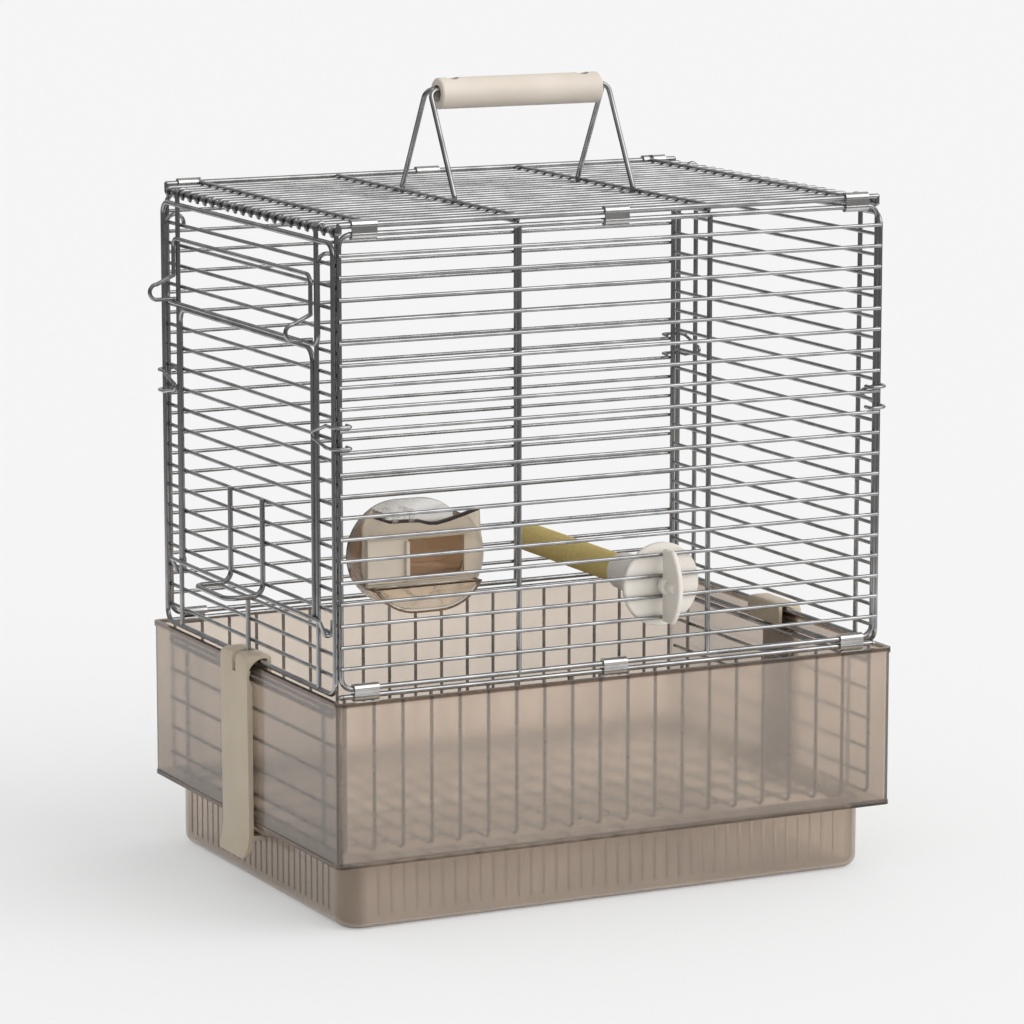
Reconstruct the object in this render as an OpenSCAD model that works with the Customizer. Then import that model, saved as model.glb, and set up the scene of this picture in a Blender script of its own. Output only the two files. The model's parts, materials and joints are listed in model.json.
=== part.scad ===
// Bird travel carrier: wire cage body on a translucent seed guard and litter tray.
// X runs along the front, -Y is the front, Z is up. Millimetres. Tray underside at Z = 0.

/* [Litter tray] */
// Tray length over the fluted walls
tray_l = 334; // [320:1:340]
// Tray width over the fluted walls
tray_w = 241; // [230:1:245]
// Tray height
tray_h = 39.8; // [30:0.2:60]
// Tray wall thickness
tray_wall = 2; // [1.4:0.1:3]
// Corner radius seen from above
tray_corner = 14; // [10:1:18]
// Radius along the bottom edge
tray_edge = 7; // [4:0.5:10]
// Depth of the wall flutes
flute_depth = 0.7; // [0.3:0.1:1]

/* [Seed guard] */
// Length over the rim
guard_l = 353.5; // [340:0.5:360]
// Width over the rim
guard_w = 267.5; // [254:0.5:274]
// Height of the rim above the table
guard_top = 133; // [120:0.2:150]
// Wall thickness
guard_wall = 2.2; // [1.6:0.1:3]

/* [Cage wire] */
// Spacing of the horizontal bars
bar_pitch = 12; // [10:0.5:14]
// Bar diameter
bar_d = 2.2; // [1.8:0.1:2.6]
// Frame wire diameter
frame_d = 3; // [2.6:0.1:3.2]
// Height of the front panel's bottom rail above the table
rail_z = 138.4; // [130:0.2:150]

/* [Handle] */
// Grip diameter
grip_d = 18; // [14:0.5:22]
// Grip length
grip_l = 103; // [90:1:115]

/* [Perch and feeder] */
// Perch dowel diameter
dowel_d = 17; // [12:0.5:20]
// Perch flange diameter
flange_d = 48; // [40:1:48]
// Feeder window width
window_w = 55; // [50:1:58]

/* [Show] */
// Piece to draw

/* [Hidden] */
// Front and back panel frame: half length, plane, top rail height
pan_x = 169;
pan_y = 122;
pan_top = rail_z + 251;
bar_y = 124.3;
// End panels: post plane, bar plane, first bar height, frame post position
end_x = 171.9;
ebar_x = 169.6;
end_top = rail_z + 246.3;
end_bot = rail_z - 3.3;
post_y = 98.5;
corner_y = 120.7;
post_d = 2.8;
// Top panel levels
top_z = rail_z + 254.6;
top_pitch = 11.09;
endwire_x = 168.7;
endwire_z = rail_z + 252.2;
edge_z = rail_z + 256.3;
// Latch hinge wire
lat_x = 170;
lat_z = rail_z - 12;
// Floor levels
ledge_z = tray_h + 3;
floor_lo = ledge_z + 1.15;
floor_hi = floor_lo + 1.8;
liner_top = rail_z - 4.2;
liner_y = 121.75;
// Colours
steel = [0.72, 0.73, 0.75];
bright = [0.8, 0.82, 0.84];
smoke = [0.69, 0.65, 0.59, 0.6];
cream = [0.87, 0.82, 0.77];
beige = [0.7, 0.66, 0.58];

// Straight wires along each axis, given by two ends and the other two coordinates
module wire_x(x0, x1, y, z, d) {
    translate([x0, y, z])
        rotate([0, 90, 0])
            cylinder(h = x1 - x0, d = d);
}

module wire_y(y0, y1, x, z, d) {
    translate([x, y0, z])
        rotate([-90, 0, 0])
            cylinder(h = y1 - y0, d = d);
}

module wire_z(z0, z1, x, y, d) {
    translate([x, y, z0])
        cylinder(h = z1 - z0, d = d);
}

// Straight wire between any two points
module wire(p, q, d) {
    v = q - p;
    l = norm(v);
    translate(p)
        rotate([0, acos(v[2] / l), atan2(v[1], v[0])])
            cylinder(h = l, d = d);
}

// Bends about each axis: centre, bend radius, start and end angle
module bend_y(x, y, z, r, a0, a1, d) {
    translate([x, y, z])
        rotate([90, 0, 0])
            rotate([0, 0, a0])
                rotate_extrude(angle = a1 - a0)
                    translate([r, 0])
                        circle(d = d);
}

module bend_x(x, y, z, r, a0, a1, d) {
    translate([x, y, z])
        rotate([90, 0, 90])
            rotate([0, 0, a0])
                rotate_extrude(angle = a1 - a0)
                    translate([r, 0])
                        circle(d = d);
}

module bend_z(x, y, z, r, a0, a1, d) {
    translate([x, y, z])
        rotate([0, 0, a0])
            rotate_extrude(angle = a1 - a0)
                translate([r, 0])
                    circle(d = d);
}

// Rectangle with round corners
module round_rect(l, w, r) {
    square([l - 2 * r, w], center = true);
    square([l, w - 2 * r], center = true);
    for (i = [-1, 1])
        for (j = [-1, 1])
            translate([i * (l / 2 - r), j * (w / 2 - r)])
                circle(r = r);
}

// Block with round upright corners and a round bottom edge
module tub(l, w, h, rc, re) {
    for (i = [-1, 1])
        for (j = [-1, 1])
            translate([i * (l / 2 - rc), j * (w / 2 - rc), 0])
                rotate_extrude()
                    tub_edge(h, rc, re);
    for (j = [-1, 1])
        mirror([0, j < 0 ? 1 : 0, 0])
            translate([-(l / 2 - rc), w / 2 - rc, 0])
                rotate([90, 0, 90])
                    linear_extrude(l - 2 * rc)
                        tub_edge(h, rc, re);
    for (i = [-1, 1])
        mirror([i < 0 ? 1 : 0, 0, 0])
            translate([l / 2 - rc, w / 2 - rc, 0])
                rotate([90, 0, 0])
                    linear_extrude(w - 2 * rc)
                        tub_edge(h, rc, re);
    translate([-(l / 2 - rc), -(w / 2 - rc), 0])
        cube([l - 2 * rc, w - 2 * rc, h]);
}

module tub_edge(h, rc, re) {
    translate([0, re])
        square([rc, h - re]);
    square([rc - re, re]);
    intersection() {
        translate([rc - re, re])
            circle(r = re);
        translate([rc - re, 0])
            square([re, re]);
    }
}

// Row of upright V cutters along X, their tips at y = 0 minus the depth
module flute_row(n, pitch, depth, h) {
    half = 1.6;
    pts = [for (i = [0:n - 1]) each [
        [(i - (n - 1) / 2) * pitch - half, 0.4],
        [(i - (n - 1) / 2) * pitch, -depth],
        [(i - (n - 1) / 2) * pitch + half, 0.4]]];
    far = (n - 1) / 2 * pitch + half;
    linear_extrude(h)
        polygon(concat(pts, [[far, 2], [-far, 2]]));
}

module litter_tray() {
    color(smoke) {
        difference() {
            tub(tray_l, tray_w, tray_h, tray_corner, tray_edge);
            translate([0, 0, tray_wall])
                tub(tray_l - 2 * tray_wall, tray_w - 2 * tray_wall, tray_h,
                    tray_corner - tray_wall, tray_edge - tray_wall);
            for (a = [0, 180])
                rotate([0, 0, a])
                    translate([0, tray_w / 2, tray_edge + 2])
                        flute_row(38, 7.9, flute_depth, tray_h);
            for (a = [90, 270])
                rotate([0, 0, a])
                    translate([0, tray_l / 2, tray_edge + 2])
                        flute_row(26, 7.9, flute_depth, tray_h);
        }
        for (s = [-1, 1])
            translate([s > 0 ? tray_l / 2 - 1.5 : -174, -26, tray_h - 5.4])
                cube([175.5 - tray_l / 2, 52, 5]);
    }
}

module seed_guard() {
    color(smoke)
        difference() {
            union() {
                translate([0, 0, tray_h])
                    linear_extrude(guard_top - tray_h)
                        round_rect(guard_l - 1.4, guard_w - 1.6, 3.4);
                translate([0, 0, guard_top - 3])
                    linear_extrude(3)
                        round_rect(guard_l, guard_w, 4);
                translate([0, 0, tray_h])
                    linear_extrude(2.2)
                        round_rect(guard_l - 0.4, guard_w - 0.6, 3.8);
                translate([0, 0, tray_h - 4])
                    linear_extrude(5)
                        round_rect(tray_l - 2 * tray_wall - 0.6, tray_w - 2 * tray_wall - 0.6, 11.6);
            }
            translate([0, 0, ledge_z])
                linear_extrude(guard_top)
                    round_rect(guard_l - 1.4 - 2 * guard_wall, guard_w - 1.6 - 2 * guard_wall, 1.4);
            translate([0, 0, tray_h - 5])
                linear_extrude(20)
                    round_rect(322, 229, 12);
        }
}

// Floor grate: cross wires over seven lengthwise wires
liner_pitch = 17.6;

module floor_grate() {
    color(steel) {
        for (i = [1:18])
            wire_y(4 - liner_y, liner_y - 4, (i - 9.5) * liner_pitch, floor_hi, 2);
        for (j = [-3:3])
            wire_x(-163.8, 163.8, j * 98 / 3, floor_lo, 2.2);
    }
}

module long_liner() {
    for (i = [0:19]) {
        x = (i - 9.5) * liner_pitch;
        wire_z(floor_hi + 4, liner_top, x, -liner_y, 2);
        bend_x(x, 4 - liner_y, floor_hi + 4, 4, 180, 270, 2);
    }
    wire_x(-168.6, 168.6, -pan_y, liner_top, frame_d);
    bend_y(-168.6, -pan_y, liner_top - 3, 3, 90, 130, frame_d);
    bend_y(168.6, -pan_y, liner_top - 3, 3, 50, 90, frame_d);
    for (s = [-1, 1])
        translate([s * 168.6, -pan_y, liner_top])
            sphere(d = frame_d + 0.1);
}

module front_liner() {
    color(steel)
        long_liner();
}

module back_liner() {
    color(steel)
        mirror([0, 1, 0])
            long_liner();
}

// End liner, right-hand side: hairpin top rail carrying the latch
module end_liner() {
    for (z = [lat_z, lat_z - 4])
        wire_y(-114, 114, lat_x, z, frame_d);
    bend_x(lat_x, 114, lat_z - 2, 2, -90, 90, frame_d);
    bend_x(lat_x, -114, lat_z - 2, 2, 90, 270, frame_d);
    for (z = [-32.5, -50, -67.5, -83])
        wire_y(-118.5, 118.5, 169.7, rail_z + z, 2);
    for (s = [-1, 1]) {
        wire_z(floor_lo + 4, lat_z + 1, 167.8, s * 98, 2.2);
        bend_y(163.8, s * 98, floor_lo + 4, 4, -90, 0, 2.2);
    }
    wire_y(4 - liner_y, liner_y - 4, 9.5 * liner_pitch, floor_hi, 2);
}

module right_liner() {
    color(steel)
        end_liner();
}

module left_liner() {
    color(steel)
        mirror([1, 0, 0])
            end_liner();
}

// Closed rectangular frame in an upright plane parallel to the front
module frame_loop(x, z0, z1, y, r, d) {
    wire_x(-x + r, x - r, y, z0, d);
    wire_x(-x + r, x - r, y, z1, d);
    for (s = [-1, 1])
        wire_z(z0 + r, z1 - r, s * x, y, d);
    bend_y(x - r, y, z1 - r, r, 0, 90, d);
    bend_y(-x + r, y, z1 - r, r, 90, 180, d);
    bend_y(-x + r, y, z0 + r, r, 180, 270, d);
    bend_y(x - r, y, z0 + r, r, 270, 360, d);
}

module long_panel() {
    frame_loop(pan_x, rail_z, pan_top, -pan_y, 7, frame_d);
    for (s = [-1, 1])
        wire_z(rail_z, pan_top, s * 60, -pan_y, frame_d);
    for (n = [1:20])
        wire_x(-170.3, 170.3, -bar_y, rail_z + 252 - bar_pitch * n, bar_d);
}

module front_panel() {
    color(steel)
        long_panel();
}

module back_panel() {
    color(steel)
        mirror([0, 1, 0])
            long_panel();
}

// Top panel: lengthwise bars curled round the end wires, closed cross loops, edge rails
module top_panel() {
    color(steel) {
        for (k = [0:10])
            for (s = [-1, 1]) {
                y = s * top_pitch * (k + 0.5);
                wire_x(-endwire_x, endwire_x, y, top_z, bar_d);
                bend_y(endwire_x, y, endwire_z, 2.4, -70, 90, bar_d);
                bend_y(-endwire_x, y, endwire_z, 2.4, 90, 250, bar_d);
            }
        for (x = [-148, -60, 60, 152])
            cross_loop(x);
        for (s = [-1, 1]) {
            wire_y(-pan_y, pan_y, s * endwire_x, endwire_z, frame_d);
            wire_x(-endwire_x, endwire_x, s * pan_y, edge_z, frame_d);
            for (t = [-1, 1]) {
                wire_z(endwire_z, edge_z, s * endwire_x, t * pan_y, frame_d);
                for (z = [endwire_z, edge_z])
                    translate([s * endwire_x, t * pan_y, z])
                        sphere(d = frame_d + 0.1);
            }
        }
    }
}

module cross_loop(x) {
    for (z = [top_z - 1.9, top_z + 1.9])
        wire_y(-118.9, 118.9, x, z, bar_d);
    bend_x(x, 118.9, top_z, 1.9, -90, 90, bar_d);
    bend_x(x, -118.9, top_z, 1.9, 90, 270, bar_d);
}

// End panel, right-hand side: posts outside, bars inside, hooks over the top end wire
module end_frame() {
    r = 7;
    for (s = [-1, 1]) {
        wire_z(end_bot + r, end_top - r, end_x, s * corner_y, frame_d);
        wire_z(end_bot, endwire_z, end_x, s * post_y, post_d);
        bend_y(endwire_x, s * post_y, endwire_z, 3.2, 0, 175, post_d);
    }
    for (z = [end_bot, end_top])
        wire_y(r - corner_y, corner_y - r, end_x, z, frame_d);
    bend_x(end_x, corner_y - r, end_top - r, r, 0, 90, frame_d);
    bend_x(end_x, r - corner_y, end_top - r, r, 90, 180, frame_d);
    bend_x(end_x, r - corner_y, end_bot + r, r, 180, 270, frame_d);
    bend_x(end_x, corner_y - r, end_bot + r, r, 270, 360, frame_d);
}

module right_end_panel() {
    color(steel) {
        end_frame();
        for (n = [1:20])
            wire_y(-120.2, 120.2, ebar_x, end_top - bar_pitch * n, bar_d);
    }
}

module left_end_panel() {
    color(steel)
        mirror([1, 0, 0]) {
            end_frame();
            for (n = [1, 2, 3, 4, 18, 19, 20])
                wire_y(-120.2, 120.2, ebar_x, end_top - bar_pitch * n, bar_d);
            for (n = [5:17]) {
                wire_y(97.5, 120.2, ebar_x, end_top - bar_pitch * n, bar_d);
                wire_y(-120.2, -97.5, ebar_x, end_top - bar_pitch * n, bar_d);
            }
            wire_z(end_bot, end_top - 18 * bar_pitch + 1.4, end_x, 0, post_d);
        }
}

// Sheet metal clip round two parallel rails, upper and lower, web on the outside
clip_l = 15;
clip_r = 2.9;

module rail_clip(x, z0, z1, notch_x, notch_low) {
    difference() {
        translate([x - clip_l / 2, -pan_y, 0])
            rotate([90, 0, 90])
                linear_extrude(clip_l)
                    difference() {
                        union() {
                            for (z = [z0, z1])
                                translate([0, z])
                                    circle(r = clip_r);
                            translate([0.1 - clip_r, z0])
                                square([clip_r - 0.1, z1 - z0]);
                        }
                        for (z = [z0, z1])
                            translate([0, z])
                                circle(r = 1.55);
                        translate([-1.4, z0])
                            square([4, z1 - z0]);
                    }
        if (notch_low)
            translate([notch_x - 1.5, -pan_y - 1.75, z0 - 4])
                cube([3, 6, 4]);
        else
            translate([notch_x - 1.6, -pan_y - 0.4, z0 - 0.2])
                cube([3.2, 6, z1 - z0 + 4]);
    }
}

module top_clips() {
    rail_clip(-154.5, pan_top, edge_z, -148, false);
    rail_clip(0, pan_top, edge_z, 300, false);
    rail_clip(154.5, pan_top, edge_z, 152, false);
}

module bottom_clips() {
    rail_clip(-154.5, liner_top, rail_z, -8.5 * liner_pitch, true);
    rail_clip(0, liner_top, rail_z, 300, true);
    rail_clip(154.5, liner_top, rail_z, 8.5 * liner_pitch, true);
}

module top_front_clips() {
    color(bright)
        top_clips();
}

module top_back_clips() {
    color(bright)
        mirror([0, 1, 0])
            top_clips();
}

module bottom_front_clips() {
    color(bright)
        bottom_clips();
}

module bottom_back_clips() {
    color(bright)
        mirror([0, 1, 0])
            bottom_clips();
}

// Corner tie, front right: sprung V of wire from the end frame post round the corner
module corner_tie() {
    x = end_x + 2.8;
    ya = -100.2;
    yb = -116;
    zm = rail_z + 139.5;
    bend_x(x, ya, zm, 2, -90, 90, 2);
    for (t = [[zm + 2, rail_z + 146.6], [zm - 2, rail_z + 134.6]]) {
        wire([x, yb, t[1]], [x, ya, t[0]], 2);
        translate([x, ya, t[0]])
            sphere(d = 2.3);
        translate([x, yb, t[1]])
            sphere(d = 2.3);
        wire_y(-121.7, yb, x, t[1], 2);
        bend_z(x - 5, -121.7, t[1], 5, -90, 0, 2);
        wire_x(166, x - 5, -126.7, t[1], 2);
        bend_z(166, -124.7, t[1], 2, 180, 270, 2);
        wire_y(-124.7, -120, 164, t[1], 2);
    }
}

module front_corner_ties() {
    color(steel) {
        corner_tie();
        mirror([1, 0, 0])
            corner_tie();
    }
}

module back_corner_ties() {
    color(steel)
        mirror([0, 1, 0]) {
            corner_tie();
            mirror([1, 0, 0])
                corner_tie();
        }
}

// Door on the left end: wire leaf hung on the sill bar, with its step loop
door_x = -ebar_x - 2.9;
sill_z = end_top - 18 * bar_pitch;

module door() {
    top = end_top - 5 * bar_pitch;
    hz = sill_z + 6;
    hx = -ebar_x - 5.3;
    color(steel) {
        for (s = [-1, 1]) {
            wire_z(hz - 1.7, top - 8, door_x, s * 94.5, frame_d);
            wire([hx, s * 106, hz], [-ebar_x - 2.7, s * 106, sill_z], 2.4);
            translate([hx, s * 106, hz])
                sphere(d = 2.5);
            translate([-ebar_x - 2.7, s * 106, sill_z])
                sphere(d = 2.5);
            bend_y(-ebar_x, s * 106, sill_z, 2.7, 180, 360, 2.4);
            wire_z(sill_z, sill_z + 6, 2.7 - ebar_x, s * 106, 2.4);
        }
        bend_x(door_x, 86.5, top - 8, 8, 0, 90, frame_d);
        bend_x(door_x, -86.5, top - 8, 8, 90, 180, frame_d);
        wire_y(-86.5, 86.5, door_x, top, frame_d);
        for (n = [6:17])
            wire_y(-95.6, 95.6, -ebar_x - 0.6, end_top - bar_pitch * n, bar_d);
        wire_y(-106, 106, hx, hz, 2.4);
        for (s = [-1, 1]) {
            wire_z(rail_z + 43, rail_z + 91.7, door_x, s * 23, frame_d);
            bend_y(door_x - 7, s * 23, rail_z + 43, 7, -90, 0, frame_d);
            wire_x(-189, door_x - 7, s * 23, rail_z + 36, frame_d);
        }
        bend_z(-189, 17, rail_z + 36, 6, 90, 180, frame_d);
        bend_z(-189, -17, rail_z + 36, 6, 180, 270, frame_d);
        wire_y(-17, 17, -195, rail_z + 36, frame_d);
    }
}

// Lock flap: wire bail hung on the top bar of the left end, its bar above the door
module lock_flap() {
    ax = -ebar_x - 5.5;
    hz = end_top - bar_pitch;
    low = rail_z + 189.5;
    color(steel)
        for (s = [-1, 1]) {
            wire_z(low + 6, hz, ax, s * 108, 2.4);
            bend_y(-ebar_x, s * 108, hz, 5.5, 0, 180, 2.4);
            wire_z(hz - 2.5, hz, 5.5 - ebar_x, s * 108, 2.4);
            bend_x(ax, s * 102, low + 6, 6, s > 0 ? 270 : 180, s > 0 ? 360 : 270, 2.4);
            wire_y(s > 0 ? 0 : -102, s > 0 ? 102 : 0, ax, low, 2.4);
            wire_z(low + 16, hz - 12, ax, s * 97.8, 2.4);
            bend_x(ax, s * 92.8, hz - 12, 5, s > 0 ? 0 : 90, s > 0 ? 90 : 180, 2.4);
            wire_y(s > 0 ? 0 : -92.8, s > 0 ? 92.8 : 0, ax, hz - 7, 2.4);
            translate([ax, s * 97.8, low + 16])
                sphere(d = 2.5);
            wire([ax, s * 97.8, low + 16], [-185.6, s * 97.8, low + 11.1], 2.4);
            translate([-185.6, s * 97.8, low + 11.1])
                sphere(d = 2.5);
            bend_y(-185.6, s * 97.8, low + 6.6, 4.5, 90, 270, 2.4);
            wire_x(-185.6, ax + 1, s * 97.8, low + 2.1, 2.4);
        }
}

// Carrying handle: two wire bails through a plain tube grip
module bail() {
    top = rail_z + 316.1;
    foot = rail_z + 258.6;
    tilt = atan((34.5 - 2.6) / (top - foot));
    leg = (top - foot) / cos(tilt);
    translate([0, -2.6, top])
        rotate([-tilt, 0, 0]) {
            wire_x(-52.2, 52.2, 0, 0, frame_d);
            bend_y(52.2, 0, -5, 5, 0, 90, frame_d);
            bend_y(-52.2, 0, -5, 5, 90, 180, frame_d);
            for (s = [-1, 1])
                wire_z(-leg, -5, s * 57.2, 0, frame_d);
        }
    for (s = [-1, 1]) {
        translate([s * 57.2, -34.5, foot])
            sphere(d = frame_d + 0.1);
        wire_z(rail_z + 252.7, foot, s * 57.2, -34.5, frame_d);
        wire_z(rail_z + 252.7, rail_z + 254.2, s * 62.8, -34.5, frame_d);
    }
    bend_y(60, -34.5, rail_z + 252.7, 2.8, 180, 360, frame_d);
    bend_y(-60, -34.5, rail_z + 252.7, 2.8, 180, 360, frame_d);
}

module handle_bail_front() {
    color(steel)
        bail();
}

module handle_bail_back() {
    color(steel)
        mirror([0, 1, 0])
            bail();
}

grip_z = rail_z + 313.9;

module handle_grip() {
    color(cream)
        difference() {
            translate([-grip_l / 2, 0, grip_z])
                rotate([0, 90, 0])
                    rotate_extrude()
                        polygon([[0, 0], [grip_d / 2 - 0.8, 0], [grip_d / 2, 0.8],
                            [grip_d / 2, grip_l - 0.8], [grip_d / 2 - 0.8, grip_l], [0, grip_l]]);
            wire_x(-grip_l, grip_l, 0, grip_z, 10);
            for (x = [-42, 41.5])
                wire_z(grip_z, grip_z + 12, x, 0, 8);
        }
}

// Side latch, right-hand side: cap over the rim, plate, hook under the tray lug, finger lip
module latch(slot) {
    w = 38;
    lip = tray_h - 5.8 - lat_z;
    color(beige)
        translate([lat_x, 0, lat_z])
            difference() {
                intersection() {
                    translate([0, w / 2, 0])
                        rotate([90, 0, 0])
                            linear_extrude(w)
                                polygon(concat(
                                    [[-4, -0.3], [-1.8, -0.3]],
                                    [for (t = [98:-6:26]) 10.75 * [cos(t), sin(t)]],
                                    [for (t = [24:-6:-12]) 9.8 * [cos(t), sin(t)]],
                                    [[7.9, -5], [7.9, lip], [0, lip], [0, lip - 2.6],
                                    [7.9, lip - 2.6], [8.6, -99], [11.4, -105.4], [14.2, -105.4],
                                    [11.6, -98], [10.8, -92], [11.3, -6], [11.3, 8.8],
                                    [10.5, 11.2], [8.4, 12.5], [0, 12.75], [-2.8, 12.4],
                                    [-4, 11.4]]));
                    translate([-20, 0, -46])
                        rotate([90, 0, 90])
                            linear_extrude(60)
                                round_rect(w - 0.02, 120, 6);
                }
                if (slot)
                    translate([-1.5, -2.4, 1.2])
                        cube([20, 4.8, 16]);
            }
}

module right_latch() {
    latch(false);
}

module left_latch() {
    mirror([1, 0, 0])
        latch(true);
}

// Feeder cup inside the front panel
cup_x = -114;
cup_z = rail_z + 68;
cup_cut = cup_z - 14;
shut_z = cup_z;
cup_back = -89;

module cup_outline(grow) {
    for (s = [-1, 1])
        translate([s * 7, 0])
            circle(r = 30 + grow);
    translate([-7, -30 - grow])
        square([14, 60 + 2 * grow]);
}

module cup_space(y0, y1) {
    translate([cup_x, y1, cup_z])
        rotate([90, 0, 0])
            linear_extrude(y1 - y0)
                children();
}

module feeder_shell() {
    color(cream)
        difference() {
            union() {
                cup_space(-112, cup_back)
                    cup_outline(0);
                cup_space(-112, -108)
                    translate([-23.5, 18])
                        circle(r = 13.3);
                cup_space(-112, -108)
                    polygon([[22, 14], [35, 25.5], [33, 8]]);
                for (s = [-1, 1])
                    translate([cup_x - 35.5, 0, shut_z + s * 12.45])
                        mirror([0, 0, s > 0 ? 0 : 1]) {
                            translate([0, -115.8, 0])
                                cube([64, 4.2, 1.4]);
                            translate([0, -115.8, -1.2])
                                cube([64, 1.2, 2]);
                        }
            }
            cup_space(-109.8, cup_back - 2)
                cup_outline(-2);
            translate([cup_x - 60, -120, cup_cut - 60])
                cube([120, 60, 60]);
            cup_space(-109.81, cup_back - 1.99)
                translate([-22, 17])
                    square([50, 30]);
            cup_space(-116, -109)
                difference() {
                    translate([-40, 20])
                        square([64, 14]);
                    translate([-23.5, 18])
                        circle(r = 13.3);
                }
            cup_space(-113, -109)
                translate([-30, -10.8])
                    square([window_w, 21.8]);
        }
}

module feeder_bowl() {
    color(cream)
        difference() {
            cup_space(-118.5, cup_back)
                intersection() {
                    cup_outline(-0.6);
                    translate([-40, -40])
                        square([80, 40 + cup_cut - cup_z - 0.01]);
                }
            cup_space(-116.7, cup_back - 2)
                intersection() {
                    cup_outline(-2.4);
                    translate([-40, -40])
                        square([80, 60]);
                }
        }
}

module feeder_shutter() {
    color(cream) {
        translate([cup_x - 35, -114.4, shut_z - 12.25])
            cube([24.5, 2.2, 24.5]);
        translate([cup_x - 12.5, -116.6, shut_z - 10.5])
            cube([2, 2.4, 21]);
    }
}

module feeder_hooks() {
    color(cream)
        for (x = [cup_x - 24, cup_x - 14])
            difference() {
                translate([x - 1.5, -127.4, rail_z + 91])
                    cube([3, 15.4, 7]);
                translate([x - 3, -125.8, rail_z + 88])
                    cube([6, 3, 9.3]);
                translate([x - 3, -122.9, rail_z + 90])
                    cube([6, 8, 4]);
            }
}

// Perch: flange and dowel inside the bars, stud through them, finned nut outside
perch_x = 30;
perch_z = rail_z + 42.5;

module perch_turn(y) {
    translate([perch_x, y, perch_z])
        rotate([-90, 0, 0])
            children();
}

module perch_dowel() {
    color([0.78, 0.68, 0.4])
        perch_turn(-86)
            cylinder(h = 131, d = dowel_d);
}

module perch_flange() {
    color([0.9, 0.89, 0.87])
        perch_turn(-122.9)
            rotate_extrude()
                polygon([[3.05, 0], [flange_d / 2 - 0.8, 0], [flange_d / 2, 0.8],
                    [flange_d / 2, 2.4], [flange_d / 2 - 0.8, 3.2], [19, 4.6], [14, 12],
                    [11.4, 26], [10.6, 47], [dowel_d / 2 + 0.04, 47], [dowel_d / 2 + 0.04, 36.9],
                    [3.05, 36.9]]);
}

module perch_stud() {
    color(bright)
        perch_turn(-139)
            cylinder(h = 50, d = 6);
}

module perch_wing_nut() {
    color([0.9, 0.89, 0.87])
        difference() {
            union() {
                translate([perch_x - 1.6, 0, perch_z])
                    rotate([90, 0, 90])
                        linear_extrude(3.2)
                            intersection() {
                                translate([-117, 0])
                                    circle(r = 29);
                                translate([-150, -21])
                                    square([24.3, 42]);
                            }
                perch_turn(-142)
                    cylinder(h = 16.3, r = 5);
            }
            perch_turn(-140)
                cylinder(h = 20, d = 6.1);
        }
}

litter_tray();
seed_guard();
floor_grate();
front_liner();
back_liner();
left_liner();
right_liner();
front_panel();
back_panel();
top_panel();
left_end_panel();
right_end_panel();
top_front_clips();
top_back_clips();
bottom_front_clips();
bottom_back_clips();
front_corner_ties();
back_corner_ties();
door();
lock_flap();
handle_bail_front();
handle_bail_back();
handle_grip();
left_latch();
right_latch();
feeder_shell();
feeder_bowl();
feeder_shutter();
feeder_hooks();
perch_dowel();
perch_flange();
perch_stud();
perch_wing_nut();
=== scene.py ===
"""Dresses the bird travel carrier and sets the studio round it.

The piece classes keep their sizes in millimetres; Blender and the frame take metres.
"""

import json
import logging
import math
from dataclasses import dataclass, field
from enum import Enum
from typing import Any, Optional

import bmesh
import bpy
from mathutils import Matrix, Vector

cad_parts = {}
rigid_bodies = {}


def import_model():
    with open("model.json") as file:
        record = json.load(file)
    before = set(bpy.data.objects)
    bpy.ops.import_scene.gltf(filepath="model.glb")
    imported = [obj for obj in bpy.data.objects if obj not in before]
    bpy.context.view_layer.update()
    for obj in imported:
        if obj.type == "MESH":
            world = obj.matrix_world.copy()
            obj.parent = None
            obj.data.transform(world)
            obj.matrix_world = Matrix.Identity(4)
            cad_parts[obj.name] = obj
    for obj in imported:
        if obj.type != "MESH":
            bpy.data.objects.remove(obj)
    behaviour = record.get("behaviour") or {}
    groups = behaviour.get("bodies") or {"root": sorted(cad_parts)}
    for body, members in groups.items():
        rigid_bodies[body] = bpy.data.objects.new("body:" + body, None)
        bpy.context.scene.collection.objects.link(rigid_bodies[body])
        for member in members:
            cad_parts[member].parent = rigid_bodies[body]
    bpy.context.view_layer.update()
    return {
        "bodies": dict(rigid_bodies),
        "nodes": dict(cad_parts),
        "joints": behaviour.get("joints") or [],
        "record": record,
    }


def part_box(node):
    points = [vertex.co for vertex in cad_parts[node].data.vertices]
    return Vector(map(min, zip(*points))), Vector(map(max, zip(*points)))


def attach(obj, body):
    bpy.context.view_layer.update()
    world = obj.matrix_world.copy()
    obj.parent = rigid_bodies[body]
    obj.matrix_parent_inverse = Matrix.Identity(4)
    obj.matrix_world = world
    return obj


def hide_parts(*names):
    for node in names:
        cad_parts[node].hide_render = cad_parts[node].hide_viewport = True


log = logging.getLogger("carrier")

Colour = tuple[float, float, float]
Point = tuple[float, float, float]
Flat = tuple[float, float]
Span = tuple[float, float]
Outline = list[Flat]
MM = 0.001
PLASTIC_IOR = 1.45
ROUNDED_FROM = math.radians(32.0)
CREASED_FROM = math.radians(40.0)


def paint(red: int, green: int, blue: int) -> Colour:
    """A colour from 0 to 255 a channel, as the linear values that a shader takes.

    Args:
        red: the red channel.
        green: the green channel.
        blue: the blue channel.

    Returns:
        The linear colour.
    """

    def one(channel: int) -> float:
        """One channel."""
        value = channel / 255
        return value / 12.92 if value <= 0.04045 else ((value + 0.055) / 1.055) ** 2.4

    return one(red), one(green), one(blue)


def dimmed(colour: Colour, share: float) -> Colour:
    """A colour with each channel brought down to a share of itself."""
    return tuple(share * part for part in colour)


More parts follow.
